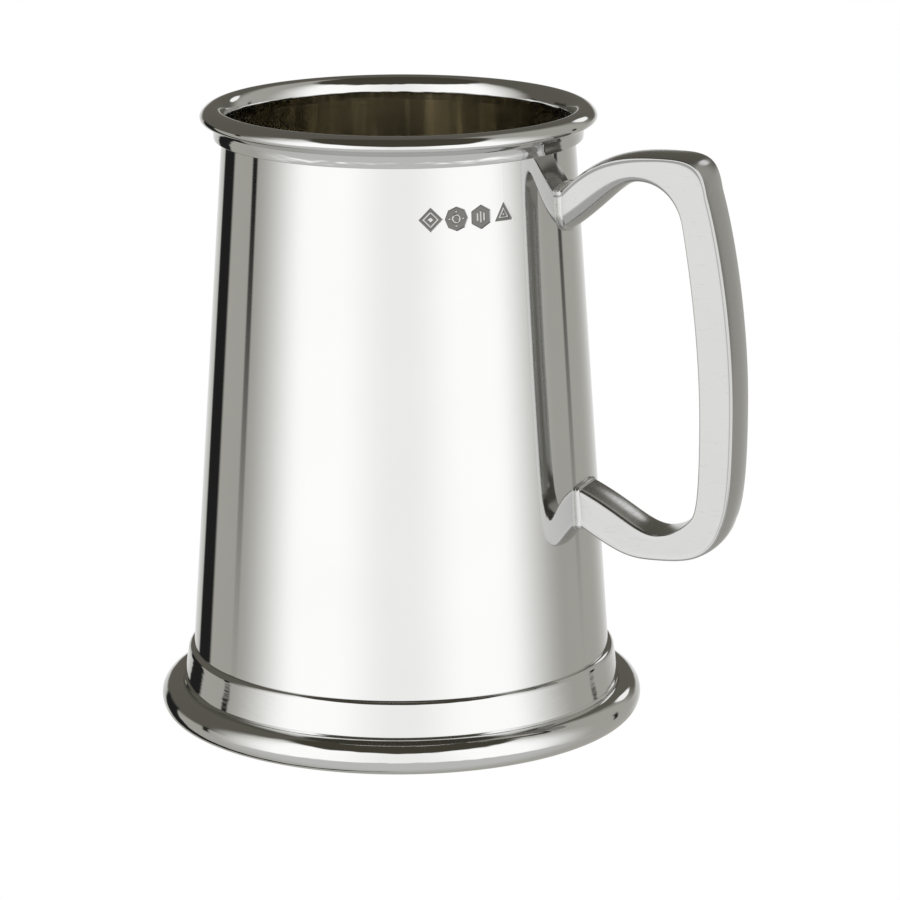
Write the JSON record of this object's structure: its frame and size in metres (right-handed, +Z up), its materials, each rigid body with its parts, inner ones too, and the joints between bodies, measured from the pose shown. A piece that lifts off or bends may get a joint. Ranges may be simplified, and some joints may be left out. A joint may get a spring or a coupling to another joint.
{
  "type": "pewter tankard",
  "caption": "Open pewter tankard: tapered drum, beaded rim, hollow moulded foot and a cast D-shaped handle soldered on.",
  "frame": {"origin": "on the cup's axis, in the plane that the foot stands on", "axes": "+Z up along the cup's axis, +X towards the handle, the handle being the same on both sides of the XZ plane"},
  "size_m": [0.127, 0.1024, 0.13],
  "materials": {
    "polished_pewter": "mirror-polished pewter with faint spin lines",
    "satin_pewter": "satin-polished cast pewter",
    "solder": "wiped soft solder"
  },
  "bodies": {
    "root": {"drum": "polished_pewter", "rim_moulding": "polished_pewter", "foot_moulding": "polished_pewter", "base_disc": "satin_pewter", "base_solder": "solder", "foot_solder": "solder", "handle": "satin_pewter", "upper_handle_solder": "solder", "lower_handle_solder": "solder"}
  },
  "joints": []
}
